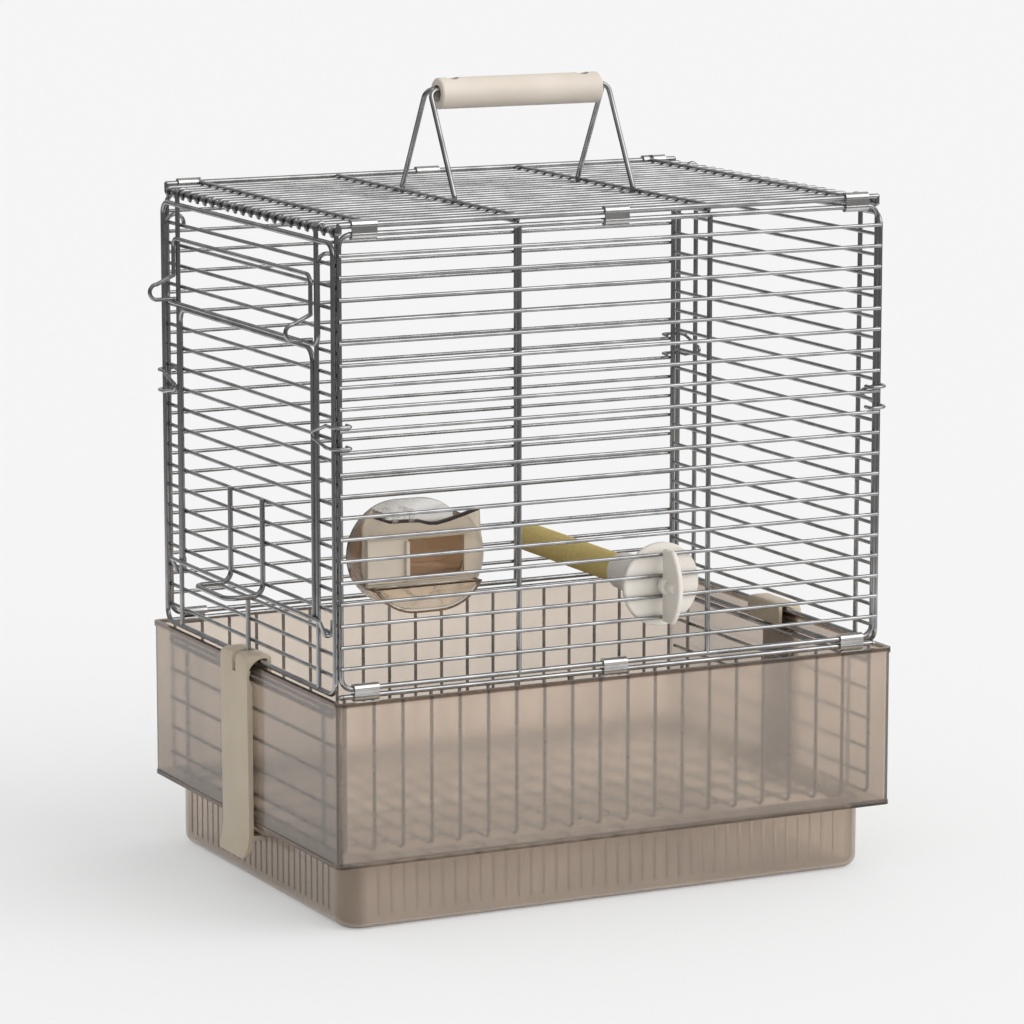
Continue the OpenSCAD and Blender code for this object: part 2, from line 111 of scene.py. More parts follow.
class Signal:
    """A value socket that can stand in a sum, so that shader maths reads as an expression."""

    def __init__(self, web: "Web", socket: bpy.types.NodeSocket) -> None:
        """Wraps one socket of a web."""
        self.web = web
        self.socket = socket

    def _maths(self, operation: str, first: Any, second: Any = None, clamp: bool = False) -> "Signal":
        """Adds one Math node.

        Args:
            operation: the node's operation.
            first: its first value, a number or a signal.
            second: its second value.
            clamp: whether the result is held between 0 and 1.

        Returns:
            The node's result.
        """
        values = {0: first} if second is None else {0: first, 1: second}
        node = self.web.add("ShaderNodeMath", {"operation": operation, "use_clamp": clamp}, values)
        return Signal(self.web, node.outputs[0])

    def __add__(self, other: Any) -> "Signal":
        """Sum."""
        return self._maths("ADD", self, other)

    __radd__ = __add__

    def __mul__(self, other: Any) -> "Signal":
        """Product."""
        return self._maths("MULTIPLY", self, other)

    __rmul__ = __mul__

    def __sub__(self, other: Any) -> "Signal":
        """Difference."""
        return self._maths("SUBTRACT", self, other)

    def __rsub__(self, other: Any) -> "Signal":
        """Difference, the other way round."""
        return self._maths("SUBTRACT", other, self)

    def __abs__(self) -> "Signal":
        """Size without sign."""
        return self._maths("ABSOLUTE", self)

    def power(self, other: float) -> "Signal":
        """This signal raised to a power."""
        return self._maths("POWER", self, other)

    def ramp(self, low: float, high: float) -> "Signal":
        """A straight rise between two values.

        Args:
            low: where it is 0; it may be the larger one.
            high: where it reaches 1.

        Returns:
            The rise, held between 0 and 1.
        """
        return self._maths("MULTIPLY", self - low, 1 / (high - low), clamp=True)

    def most(self, other: Any) -> "Signal":
        """The larger of two."""
        return self._maths("MAXIMUM", self, other)


class Web:
    """A node tree being wired up."""

    def __init__(self, tree: bpy.types.NodeTree) -> None:
        """Starts on an empty tree."""
        self.tree = tree
        self.tree.nodes.clear()

    def add(self, kind: str, settings: Optional[dict] = None,
            values: Optional[dict] = None) -> bpy.types.Node:
        """Adds one node.

        Args:
            kind: the node's type.
            settings: its properties, set first.
            values: its sockets by name or number, each a plain value, a socket or a signal.

        Returns:
            The node.
        """
        node = self.tree.nodes.new(kind)
        for key, value in (settings or {}).items():
            setattr(node, key, value)
        for key, value in (values or {}).items():
            self.join(value, node.inputs[key])
        return node

    def join(self, value: Any, socket: bpy.types.NodeSocket) -> None:
        """Puts a value on a socket, or links it.

        Args:
            value: a plain value, a colour, a socket or a signal.
            socket: where it goes.
        """
        if isinstance(value, Signal):
            value = value.socket
        if isinstance(value, bpy.types.NodeSocket):
            self.tree.links.new(value, socket)
        elif isinstance(value, tuple) and len(value) == 3 and len(getattr(socket, "default_value", ())) == 4:
            socket.default_value = (*value, 1.0)
        else:
            socket.default_value = value

    def signal(self, node: bpy.types.Node, output: Any = 0) -> Signal:
        """A node's output as a signal."""
        return Signal(self, node.outputs[output])

    def place(self) -> bpy.types.NodeSocket:
        """The point being shaded, in the object's own frame, which is the carrier's."""
        return self.add("ShaderNodeTexCoord").outputs["Object"]

    def split(self, vector: Any) -> tuple[Signal, Signal, Signal]:
        """A vector's three parts."""
        node = self.add("ShaderNodeSeparateXYZ", None, {0: vector})
        return self.signal(node, 0), self.signal(node, 1), self.signal(node, 2)

    def noise(self, scale: float, detail: float = 3.0, stretch: Optional[Point] = None) -> Signal:
        """Noise on the carrier's own coordinates.

        Args:
            scale: lumps per metre.
            detail: octaves.
            stretch: scale along each axis, or None for even lumps.

        Returns:
            The noise, about 0.5 on average.
        """
        where = self.place()
        if stretch:
            where = self.add("ShaderNodeMapping", None, {"Vector": where, "Scale": stretch}).outputs[0]
        node = self.add("ShaderNodeTexNoise", None, {"Vector": where, "Scale": scale, "Detail": detail})
        return self.signal(node, 0)

    def tint(self, mask: Signal, low: Any, high: Any) -> bpy.types.NodeSocket:
        """A colour between two.

        Args:
            mask: 0 for the first colour, 1 for the second.
            low: the first colour, plain or a socket.
            high: the second colour.

        Returns:
            The mixed colour.
        """
        node = self.add("ShaderNodeMix", {"data_type": "RGBA"}, {0: mask, 6: low, 7: high})
        return node.outputs[2]

    def relief(self, height: Signal, distance: float, strength: float = 1.0) -> bpy.types.NodeSocket:
        """A bump's normal.

        Args:
            height: the height, 0 to 1.
            distance: how high 1 stands, in metres.
            strength: how much of the bump shows.

        Returns:
            The normal.
        """
        node = self.add("ShaderNodeBump", None,
                        {"Height": height, "Distance": distance, "Strength": strength})
        return node.outputs[0]


def new_material(name: str) -> tuple[bpy.types.Material, Web, bpy.types.Node]:
    """A material with its shader wired to the output.

    Args:
        name: the material's name.

    Returns:
        The material, its web and its shader node.
    """
    material = bpy.data.materials.new(name)
    material.use_nodes = True
    web = Web(material.node_tree)
    shader = web.add("ShaderNodeBsdfPrincipled")
    web.add("ShaderNodeOutputMaterial", None, {"Surface": shader.outputs[0]})
    return material, web, shader


class Slot(Enum):
    """The record's material slots, listed; nothing in the script uses them."""

    WIRE = "wire"
    LATCH = "latch_plastic"
    CUP = "feeder_plastic"
    WHITE = "white_plastic"


@dataclass(frozen=True)
class PlatedSteel:
    """Zinc-plated wire or sheet: bright, a little uneven, duller where the plating is thick."""

    name: str
    bright: Colour
    dull: Colour
    smooth: float = 0.22
    rough: float = 0.4
    # shaded_below: the height below which the colour is darkened as painted shade
    shaded_below: float = 0.0
    shade: float = 0.3
    fade: float = 0.002
    cloud_scale: float = 70.0
    ripple_scale: float = 260.0
    ripple: float = 0.00003

    def build(self) -> bpy.types.Material:
        """Makes the material; below shaded_below, behind the guard, its colour is darkened as painted shade.

        Returns:
            The material.
        """
        material, web, shader = new_material(self.name)
        cloud = web.noise(self.cloud_scale, 2.0).ramp(0.35, 0.7)
        colour = web.tint(cloud, self.bright, self.dull)
        # painted shade: below shaded_below the colour is darkened to stand in for the guard's shade
        if self.shaded_below:
            height = web.split(web.place())[2]
            lit = height.ramp(self.shaded_below - self.fade, self.shaded_below)
            colour = web.tint(lit, dimmed(self.dull, self.shade), colour)
        web.join(colour, shader.inputs["Base Color"])
        web.join(self.smooth + cloud * (self.rough - self.smooth), shader.inputs["Roughness"])
        shader.inputs["Metallic"].default_value = 1.0
        ripple = web.relief(web.noise(self.ripple_scale, 2.0), self.ripple, 0.3)
        web.join(ripple, shader.inputs["Normal"])
        return material


@dataclass(frozen=True)
class SatinPlastic:
    """Moulded plastic with a fine spark-eroded grain."""

    name: str
    colour: Colour
    shade: Colour
    rough: float = 0.45
    grain: float = 0.00006
    grain_scale: float = 2600.0
    cloud_scale: float = 35.0
    glow: float = 0.0
    glow_depth: Point = (0.004, 0.003, 0.002)

    def build(self) -> bpy.types.Material:
        """Makes the material; with a glow, some light goes through its skin.

        Returns:
            The material.
        """
        material, web, shader = new_material(self.name)
        cloud = web.noise(self.cloud_scale, 2.0).ramp(0.35, 0.75)
        fine = web.noise(self.grain_scale, 2.0)
        web.join(web.tint(cloud, self.colour, self.shade), shader.inputs["Base Color"])
        web.join(self.rough + fine * 0.1 + cloud * 0.05, shader.inputs["Roughness"])
        web.join(web.relief(fine, self.grain, 0.6), shader.inputs["Normal"])
        if self.glow:
            shader.inputs["Subsurface Weight"].default_value = self.glow
            shader.inputs["Subsurface Radius"].default_value = self.glow_depth
        return material


@dataclass(frozen=True)
class FrostedPlastic:
    """Smoky see-through plastic, frosted on one side and darker along its edges.

    The walls let part of the light through; rims, corners and ledges are looked at along
    the sheet, so they are darker and let less through. Its sizes are in metres.
    """

    name: str
    wall: Colour
    edge: Colour
    half_length: float
    half_width: float
    low: float
    high: float
    corner: float = 0.004
    rough: float = 0.1
    through: float = 0.84
    # share of the wall's colour kept at the two ends, which are darkened as painted shade
    ends: float = 1.0
    painted_shade_end_fade: Span = (0.2, 0.4)
    top_band: Span = (0.0026, 0.0018)
    foot_band: Span = (0.0024, 0.001)
    deeper: float = 0.12
    misty: float = 0.06
    mist_scale: float = 30.0
    frost_scale: float = 1500.0
    frost: float = 0.08

    def build(self) -> bpy.types.Material:
        """Makes the material; its two ends are darkened, as painted shade, to the share of the wall's colour
        that ends says.

        Returns:
            The material.
        """
        material, web, shader = new_material(self.name)
        x, y, z = web.split(web.place())
        near_x = abs(x).ramp(self.half_length - self.corner, self.half_length)
        near_y = abs(y).ramp(self.half_width - self.corner, self.half_width)
        top_rim = z.ramp(*(self.high - depth for depth in self.top_band))
        foot_rim = z.ramp(*(self.low + rise for rise in self.foot_band))
        edges = (near_x * near_y).power(0.6).most(top_rim.most(foot_rim))
        mist = web.noise(self.mist_scale, 2.0).ramp(0.3, 0.7)
        frost = web.noise(self.frost_scale, 3.0)
        # painted shade: the two ends darken; the wall is also darker towards the bottom, and darker at
        # random with the mist
        ends = near_x.ramp(*self.painted_shade_end_fade)
        lower = z.ramp(self.high, self.low) * self.deeper
        shade = 1 - ends * (1 - self.ends) - lower - mist * self.misty
        body = web.tint(shade, (0.0, 0.0, 0.0), self.wall)
        web.join(web.tint(edges, body, self.edge), shader.inputs["Base Color"])
        shader.inputs["Transmission Weight"].default_value = self.through
        shader.inputs["IOR"].default_value = PLASTIC_IOR
        web.join(self.rough + frost * self.frost, shader.inputs["Roughness"])
        return material


@dataclass(frozen=True)
class ClearPlastic:
    """Tinted see-through plastic with a soft gloss, a little uneven from the mould."""

    name: str
    colour: Colour
    through: float = 0.9
    rough: float = 0.1
    upper: Optional[Colour] = None
    turn_height: float = 0.0
    fade: float = 0.002
    cover: float = 1.0
    cloud_scale: float = 60.0
    cloudy: float = 0.08
    wave_scale: float = 200.0
    wave: float = 0.00006

    def build(self) -> bpy.types.Material:
        """Makes the material; above turn_height it takes its upper colour.

        Returns:
            The material.
        """
        material, web, shader = new_material(self.name)
        cloud = web.noise(self.cloud_scale, 2.0).ramp(0.35, 0.7)
        colour = web.tint(cloud, self.colour, dimmed(self.colour, 0.9))
        if self.upper:
            height = web.split(web.place())[2]
            above = height.ramp(self.turn_height - self.fade, self.turn_height + self.fade)
            colour = web.tint(above, colour, self.upper)
        web.join(colour, shader.inputs["Base Color"])
        shader.inputs["Transmission Weight"].default_value = self.through
        shader.inputs["IOR"].default_value = PLASTIC_IOR
        shader.inputs["Alpha"].default_value = self.cover
        web.join(self.rough + cloud * self.cloudy, shader.inputs["Roughness"])
        wave = web.relief(web.noise(self.wave_scale, 2.0), self.wave, 0.3)
        web.join(wave, shader.inputs["Normal"])
        return material


@dataclass(frozen=True)
class SandedPerch:
    """A dowel coated in coarse sand-like grit for the bird's claws."""

    name: str
    colour: Colour
    dark: Colour
    rough: float = 0.9
    grit_scale: float = 1100.0
    grit: float = 0.0003
    streak_scale: float = 60.0
    streak_stretch: Point = (1.0, 0.25, 1.0)

    def build(self) -> bpy.types.Material:
        """Makes the material.

        Returns:
            The material.
        """
        material, web, shader = new_material(self.name)
        grit = web.noise(self.grit_scale, 4.0).ramp(0.35, 0.68)
        streak = web.noise(self.streak_scale, 3.0, self.streak_stretch).ramp(0.35, 0.7)
        mixed = web.tint(streak, self.colour, dimmed(self.colour, 0.82))
        web.join(web.tint(grit, self.dark, mixed), shader.inputs["Base Color"])
        shader.inputs["Roughness"].default_value = self.rough
        web.join(web.relief(grit, self.grit, 0.6), shader.inputs["Normal"])
        return material


@dataclass
class Finishes:
    """Every finish on the carrier, made once."""

    cup_turn: float
    made: dict[str, bpy.types.Material] = field(default_factory=dict)

    def build(self) -> None:
        """Makes the materials."""
        zinc, dull_zinc = paint(184, 184, 184), paint(152, 152, 153)
        for finish in (
            PlatedSteel("zinc_wire", zinc, dull_zinc, 0.16, 0.3),
            # the liner wire takes painted shade below the guard's top
            PlatedSteel("liner_wire_painted_shade", zinc, dull_zinc, 0.2, 0.35, shaded_below=0.132),
            PlatedSteel("bright_clip", paint(212, 211, 209), paint(186, 185, 184), 0.2, 0.32),
            # the guard's and the tray's ends are darkened as painted shade
            FrostedPlastic("smoky_guard", (0.93, 0.815, 0.71), (0.22, 0.155, 0.11),
                           half_length=0.1767, half_width=0.1337, low=0.0398, high=0.133, ends=0.7),
            FrostedPlastic("smoky_tray", (0.92, 0.8, 0.685), (0.5, 0.4, 0.31),
                           half_length=0.167, half_width=0.1205, low=0.0, high=0.0398,
                           corner=0.014, ends=0.84),
            SatinPlastic("latch_beige", paint(204, 190, 168), paint(196, 182, 160)),
            SatinPlastic("grip_cream", paint(220, 210, 197), paint(212, 201, 188), 0.45, glow=0.15),
            SatinPlastic("white_nylon", paint(226, 220, 211), paint(216, 210, 200), 0.4, glow=0.15),
            ClearPlastic("cup_front", (0.86, 0.75, 0.6), 0.5, 0.28),
            ClearPlastic("cup_wall", (0.76, 0.56, 0.36), 0.85, 0.12),
            ClearPlastic("cup_back", (0.38, 0.23, 0.13), 0.8, 0.1, (0.93, 0.91, 0.88), self.cup_turn),
            ClearPlastic("cup_bowl", (0.97, 0.9, 0.8), 0.97, 0.03),
            ClearPlastic("cup_hook", (0.97, 0.95, 0.92), 0.97, 0.03, cover=0.25),
            SatinPlastic("cup_lip", paint(48, 32, 21), paint(36, 23, 15), 0.3),
            ClearPlastic("cup_rim", (0.36, 0.21, 0.1), 0.6, 0.1),
            SatinPlastic("shutter_sand", paint(206, 194, 178), paint(198, 185, 168), 0.35, glow=0.2),
            SandedPerch("perch_grit", paint(228, 205, 134), paint(196, 171, 101)),
        ):
            self.made[finish.name] = finish.build()

    def put(self, obj: bpy.types.Object, name: str) -> None:
        """Covers an object with one finish.

        Args:
            obj: the object.
            name: the finish's name.
        """
        obj.data.materials.clear()
        obj.data.materials.append(self.made[name])


@dataclass
class CarriedNodes:
    """The construction's own solids, kept as they are and given their finishes."""

    frame: dict
    finishes: Finishes
    coats: dict[str, tuple[str, ...]] = field(default_factory=lambda: {
        "liner_wire_painted_shade": ("front_liner", "left_liner"),
        "zinc_wire": ("floor_grate", "back_liner", "right_liner", "front_panel", "back_panel",
                      "top_panel", "left_end_panel", "right_end_panel", "front_corner_ties",
                      "back_corner_ties", "door", "lock_flap", "handle_bail_front",
                      "handle_bail_back"),
        "bright_clip": ("top_front_clips", "top_back_clips", "bottom_front_clips",
                        "bottom_back_clips", "perch_stud"),
        "smoky_guard": ("seed_guard",),
        "smoky_tray": ("litter_tray",),
        "latch_beige": ("left_latch", "right_latch"),
        "grip_cream": ("handle_grip",),
        "white_nylon": ("perch_flange", "perch_wing_nut"),
        "cup_wall": ("feeder_shell",),
        "cup_bowl": ("feeder_bowl",),
        "cup_hook": ("feeder_hooks",),
        "shutter_sand": ("feeder_shutter",),
        "perch_grit": ("perch_dowel",),
    })

    def dress(self) -> None:
        """Gives every node its finish."""
        for finish, names in self.coats.items():
            for name in names:
                self.finishes.put(self.frame["nodes"][name], finish)
                log.info("%s is %s", name, finish)


class Axis(Enum):
    """The direction that an outline is pushed along, with the order of its own two coordinates."""

    X = 0
    Y = 1
    Z = 2

    def lift(self, across: float, up: float, along: float) -> Point:
        """A point of an outline.

        Args:
            across: the outline's first coordinate, in millimetres.
            up: its second coordinate.
            along: the place along the axis.

        Returns:
            The point, in metres.
        """
        if self is Axis.X:
            point = (along, across, up)
        elif self is Axis.Y:
            point = (across, along, up)
        else:
            point = (across, up, along)
        return tuple(MM * part for part in point)


def arc(centre: Flat, radius: float, start: float, end: float, steps: int = 12) -> Outline:
    """Points on an arc.

    Args:
        centre: its middle.
        radius: its radius.
        start: the first point's angle, in degrees.
        end: the last point's angle.
        steps: how many steps between them.

    Returns:
        The points, both ends included.
    """
    turns = [math.radians(start + (end - start) * i / steps) for i in range(steps + 1)]
    return [(centre[0] + radius * math.cos(t), centre[1] + radius * math.sin(t)) for t in turns]


def ring(centre: Flat, radius: float, count: int = 32) -> Outline:
    """Points all the way round a circle."""
    return arc(centre, radius, 0, 360 * (count - 1) / count, count - 1)


def block(left: float, low: float, right: float, high: float) -> Outline:
    """A rectangle's four corners."""
    return [(left, low), (right, low), (right, high), (left, high)]


def link(obj: bpy.types.Object) -> bpy.types.Object:
    """Puts an object in the scene."""
    bpy.context.scene.collection.objects.link(obj)
    return obj


def prism(name: str, outline: Outline, axis: Axis, low: float, high: float) -> bpy.types.Object:
    """A closed solid with one outline all the way along.

    Args:
        name: the object's name.
        outline: its corners, in millimetres.
        axis: the direction it is pushed along.
        low: where it starts, in millimetres.
        high: where it ends.

    Returns:
        The object, with its normals outward.
    """
    shape = bmesh.new()
    rings = [[shape.verts.new(axis.lift(a, b, along)) for a, b in outline] for along in (low, high)]
    shape.faces.new(rings[0])
    shape.faces.new(rings[1])
    count = len(outline)
    for i in range(count):
        j = (i + 1) % count
        shape.faces.new((rings[0][i], rings[0][j], rings[1][j], rings[1][i]))
    bmesh.ops.recalc_face_normals(shape, faces=shape.faces)
    mesh = bpy.data.meshes.new(name)
    shape.to_mesh(mesh)
    shape.free()
    return link(bpy.data.objects.new(name, mesh))


def baked(obj: bpy.types.Object) -> bpy.types.Object:
    """Turns an object's modifiers into its mesh.

    Args:
        obj: the object.

    Returns:
        The object, with a plain mesh and no modifiers.
    """
    graph = bpy.context.evaluated_depsgraph_get()
    graph.update()
    mesh = bpy.data.meshes.new_from_object(obj.evaluated_get(graph))
    obj.modifiers.clear()
    obj.data = mesh
    return obj


def cut(obj: bpy.types.Object, tools: list[bpy.types.Object], keep: bool = False) -> bpy.types.Object:
    """Takes solids out of an object, or keeps only what they share.

    Args:
        obj: the object that is cut.
        tools: the solids; they are used up.
        keep: True to keep what is shared.

    Returns:
        The object.
    """
    for tool in tools:
        modifier = obj.modifiers.new("cut", "BOOLEAN")
        modifier.operation = "INTERSECT" if keep else "DIFFERENCE"
        modifier.solver = "EXACT"
        modifier.object = tool
        baked(obj)
        bpy.data.objects.remove(tool)
    return obj


def softened(obj: bpy.types.Object, width: float, segments: int = 3) -> bpy.types.Object:
    """Rounds an object's edges and shades it smooth.

    Args:
        obj: the object.
        width: the round's width, in millimetres.
        segments: steps in the round.

    Returns:
        The object.
    """
    modifier = obj.modifiers.new("round", "BEVEL")
    modifier.width = width * MM
    modifier.segments = segments
    modifier.limit_method = "ANGLE"
    modifier.angle_limit = ROUNDED_FROM
    modifier.harden_normals = False
    baked(obj)
    obj.data.shade_smooth()
    obj.data.set_sharp_from_angle(angle=CREASED_FROM)
    return obj


@dataclass
class SideLatch:
    """One side latch: cap over the rim, plate, tongue under the tray's lug and a finger lip.

    Its outline is drawn from the middle of the hinge wire, outwards and up. The node and
    the body that it moves with have the same name.
    """

    node: str
    finishes: Finishes
    cavity: float = 10.75
    throat: float = 9.8
    top: float = 12.75
    cap_in: float = 4.0
    inner: float = 7.9
    outer: float = 10.8
    tongue: float = 2.6
    tongue_top: float = -92.4
    corner: float = 6.0
    foot: float = 0.6
    crown: float = 14.0
    notch: float = 4.8
    notch_rise: Span = (1.2, 17.2)
    notch_depth: Span = (18.5, 1.5)
    spare: float = 20.0

    def outline(self, side: int, hinge_x: float, hinge_z: float) -> Outline:
        """The latch seen along the front.

        Args:
            side: 1 for the right end, -1 for the left one.
            hinge_x: the hinge wire's distance from the middle.
            hinge_z: its height.

        Returns:
            The outline, where the latch hangs.
        """
        tongue_low = self.tongue_top - self.tongue
        points = [(-self.cap_in, -0.3), (-1.8, -0.3)]
        points += arc((0, 0), self.cavity, 98, 26, 12)
        points += arc((0, 0), self.throat, 24, -12, 6)
        points += [(self.inner, -5), (self.inner, self.tongue_top), (0, self.tongue_top),
                   (0, tongue_low), (self.inner, tongue_low), (8.6, -99), (11.4, -105.4),
                   (14.2, -105.4), (11.6, -98), (self.outer, -92), (self.outer + 0.5, -6),
                   (self.outer + 0.5, 8.8), (10.5, 11.2), (8.4, 12.5), (0, self.top),
                   (-2.8, 12.4), (-self.cap_in, 11.4)]
        return [(side * (hinge_x + across), hinge_z + up) for across, up in points]

    def rounded(self, half: float, low: float, high: float) -> Outline:
        """The latch seen from the end: a plate with round corners.

        Args:
            half: half its width.
            low: its lower end.
            high: its upper end.

        Returns:
            The outline.
        """
        side, bottom, crown = half - self.corner, low + self.corner, high - self.corner
        corners = ((side, bottom), (side, crown), (-side, crown), (-side, bottom))
        points = []
        for centre, start in zip(corners, (-90, 0, 90, 180)):
            points += arc(centre, self.corner, start, start + 90, 8)
        return points

    def build(self) -> None:
        """Makes the latch in its node's place; the left cap is notched for the wire beside it."""
        low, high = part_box(self.node)
        side = 1 if high.x > 0 else -1
        hinge_x = (min(abs(low.x), abs(high.x))) / MM + self.cap_in
        hinge_z = high.z / MM - self.top
        half = (high.y - low.y) / 2 / MM
        body = prism("latch_tmp", self.outline(side, hinge_x, hinge_z), Axis.Y, -half, half)
        plate = self.rounded(half, low.z / MM - self.foot, hinge_z + self.crown)
        reach = sorted((side * (hinge_x + self.spare), side * (hinge_x - self.spare)))
        cut(body, [prism("corners", plate, Axis.X, *reach)], keep=True)
        if side < 0:
            lower, upper = self.notch_rise
            outside, inside = self.notch_depth
            gap = block(-self.notch / 2, hinge_z + lower, self.notch / 2, hinge_z + upper)
            cut(body, [prism("gap", gap, Axis.X, -hinge_x - outside, -hinge_x + inside)])
        softened(body, 0.7)
        body.name = self.node + "_plate"
        self.finishes.put(body, "latch_beige")
        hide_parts(self.node)
        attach(body, self.node)
        log.info("%s has %d faces", body.name, len(body.data.polygons))


@dataclass
class PerchNut:
    """The perch's fin nut: a blade on a threaded hub that narrows to a nose."""

    finishes: Finishes
    blade: float = 3.2
    reach: float = 21.0
    curve: float = 29.0
    hub: float = 5.0
    hub_length: float = 6.0
    nose: float = 3.4
    nose_length: float = 13.7
    overlap: float = 0.2

    def build(self) -> None:
        """Makes the nut in its node's place."""
        low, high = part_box("perch_wing_nut")
        x, z = (low.x + high.x) / 2 / MM, (low.z + high.z) / 2 / MM
        tip, base = low.y / MM, high.y / MM
        turn = math.degrees(math.asin(self.reach / self.curve))
        fin = [(base, z + self.reach), (base, z - self.reach)]
        fin += arc((tip + self.curve, z), self.curve, 180 + turn, 180 - turn, 20)
        blade = prism("nut_blade", fin, Axis.X, x - self.blade / 2, x + self.blade / 2)
        hub = prism("nut_hub", ring((x, z), self.hub), Axis.Y, base - self.hub_length, base)
        nose = prism("nut_nose", ring((x, z), self.nose), Axis.Y,
                     base - self.nose_length, base - self.hub_length + self.overlap)
        softened(blade, 1.3, 4)
        softened(hub, 1.5)
        softened(nose, 1.3)
        for piece in (blade, hub, nose):
            self.finishes.put(piece, "white_nylon")
            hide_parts("perch_wing_nut")
            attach(piece, "perch_nut")
        log.info("nut at x %.1f z %.1f", x, z)


@dataclass
class SeedCup:
    """The seed feeder: a front with two ears and a window, a side wall, a back and a bowl.

    Its outlines are drawn from the middle of its two round ends, across and up.
    """

    finishes: Finishes
    centre_x: float = 0.0
    centre_z: float = 0.0
    front: float = -112.0
    back: float = -89.0
    radius: float = 30.0
    spread: float = 7.0
    skin: float = 2.0
    face_skin: float = 2.2
    bowl_skin: float = 1.8
    bowl_gap: float = 0.6
    cut_height: float = -14.0
    window: tuple[float, float, float, float] = (-30, -10.8, 25, 11)
    mouth: tuple[float, float, float, float] = (-22, 17, 28, 47)
    ledge: float = 3.8
    ledge_span: Span = (12.45, 13.85)
    ledge_reach: Span = (-35.5, 28.5)
    lip: float = 0.9
    lip_depth: Span = (-0.3, 2.4)
    line_inset: Span = (0.3, 1.5)
    line_depth: Span = (-0.02, 0.9)
    brim_depth: Span = (-1.1, -0.1)
    hair: float = 0.01
    beyond: float = 60.0
    tool_span: Span = (-130.0, -70.0)
    window_span: Span = (-113.0, -109.0)
    hollow_span: Span = (-115.0, -80.0)
    line_span: Span = (-140.0, -80.0)

    def at(self, points: Outline) -> Outline:
        """Points round the cup's own centre, moved to where it hangs."""
        return [(self.centre_x + a, self.centre_z + b) for a, b in points]

    def oval(self, shrink: float) -> Outline:
        """The cup's outline, drawn in by a little."""
        radius = self.radius - shrink
        return arc((self.spread, 0), radius, -90, 90, 24) + arc((-self.spread, 0), radius, 90, 270, 24)

    def edge(self) -> Outline:
        """The wavy edge of the front's opening, left to right."""
        return [(-31.6, 25.6), (-26.0, 23.4), (-20.6, 21.4), (-12.0, 21.3), (-3.0, 20.8), (3.4, 19.0),
                (8.2, 18.6), (16.0, 20.0), (24.3, 22.2), (29.4, 23.6), (34.6, 25.2)]

    def face(self) -> Outline:
        """The front's outline: oval below, a round ear on the left, a pointed one on the right.

        Returns:
            The outline.
        """
        low = arc((self.spread, 0), self.radius, -76, 14, 18)
        right_ear = [(35.2, 13.0)]
        top = list(reversed(self.edge()))
        left_ear = [(-31.0, 28.9)] + list(reversed(arc((-23.5, 18), 13.3, 196, 122, 10)))
        side = arc((-self.spread, 0), self.radius, 172, 256, 18)
        return low + right_ear + top + left_ear + side

    def build(self) -> None:
        """Makes the feeder's shell and bowl in their nodes' places."""
        low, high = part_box("feeder_bowl")
        self.centre_x = (low.x + high.x) / 2 / MM
        self.centre_z = high.z / MM - self.cut_height
        self._front()
        self._wall()
        self._lip()
        self._bowl(low.y / MM)
        self._brim(low.y / MM)

    def _finish(self, piece: bpy.types.Object, finish: str, node: str) -> None:
        """Gives one piece its finish and its place.

        Args:
            piece: the piece.
            finish: its finish.
            node: the node that it stands for.
        """
        self.finishes.put(piece, finish)
        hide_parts(node)
        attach(piece, "carrier")
        log.info("%s has %d faces", piece.name, len(piece.data.polygons))

    def _above(self, low: float) -> bpy.types.Object:
        """A block over everything above a height."""
        far = self.beyond
        return prism("above", self.at(block(-far, low, far, far)), Axis.Y, *self.tool_span)

    def _below(self, high: float) -> bpy.types.Object:
        """A block over everything below a height."""
        far = self.beyond
        return prism("below", self.at(block(-far, -far, far, high)), Axis.Y, *self.tool_span)

    def _front(self) -> None:
        """The face with its window, over two ledges that hold the shutter."""
        plate = prism("cup_face", self.at(self.face()), Axis.Y, self.front, self.front + self.face_skin)
        window = prism("window", self.at(block(*self.window)), Axis.Y, *self.window_span)
        cut(plate, [window, self._below(self.cut_height)])
        softened(plate, 0.5)
        self._finish(plate, "cup_front", "feeder_shell")
        near, far = self.ledge_span
        for side, name in ((1, "upper"), (-1, "lower")):
            shelf = block(self.front - self.ledge, self.centre_z + side * near,
                          self.front, self.centre_z + side * far)
            reach = (self.centre_x + across for across in self.ledge_reach)
            rail = prism(f"cup_{name}_ledge", shelf, Axis.X, *reach)
            softened(rail, 0.3, 2)
            self._finish(rail, "cup_front", "feeder_shell")

    def _wall(self) -> None:
        """The side wall and the back."""
        inside = self.back - self.skin
        wall = prism("cup_side", self.at(self.oval(0)), Axis.Y, self.front + self.face_skin, inside)
        hollow = prism("hollow", self.at(self.oval(self.skin)), Axis.Y, *self.hollow_span)
        mouth = prism("mouth", self.at(block(*self.mouth)), Axis.Y, *self.hollow_span)
        cut(wall, [hollow, mouth, self._below(self.cut_height)])
        softened(wall, 0.4, 2)
        self._finish(wall, "cup_wall", "feeder_shell")
        back = prism("cup_rear", self.at(self.oval(0)), Axis.Y, inside, self.back)
        cut(back, [self._below(self.cut_height)])
        softened(back, 0.5, 2)
        self._finish(back, "cup_back", "feeder_shell")

    def _lip(self) -> None:
        """The dark edge along the opening."""
        upper = [(a, b + self.lip) for a, b in self.edge()]
        lower = [(a, b - self.lip) for a, b in reversed(self.edge())]
        depth = (self.front + step for step in self.lip_depth)
        lip = prism("cup_lip", self.at(upper + lower), Axis.Y, *depth)
        softened(lip, 0.3, 2)
        self._finish(lip, "cup_lip", "feeder_shell")

